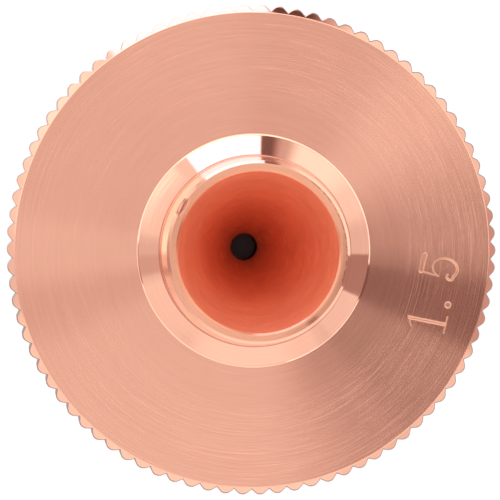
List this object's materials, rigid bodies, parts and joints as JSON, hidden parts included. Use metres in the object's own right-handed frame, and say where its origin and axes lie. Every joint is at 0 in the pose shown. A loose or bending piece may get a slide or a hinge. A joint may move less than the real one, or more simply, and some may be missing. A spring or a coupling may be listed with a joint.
{
  "type": "laser cutting nozzle",
  "caption": "Turned copper nozzle for a laser cutting head, with a knurled round rim, a conical gas inlet in a short tapered stub and a fine orifice at its tip.",
  "frame": {"origin": "centre of the flat tip face, where the orifice opens towards the sheet", "axes": "+Z along the beam axis, from the tip up to the gas inlet; +X through a knurl crest, towards the size mark's side"},
  "size_m": [0.028, 0.028, 0.015],
  "materials": {
    "copper": "bright turned copper with fine concentric tool marks, polished on the seat and the chamfers"
  },
  "bodies": {
    "root": {"nozzle_body": "copper"}
  },
  "joints": []
}
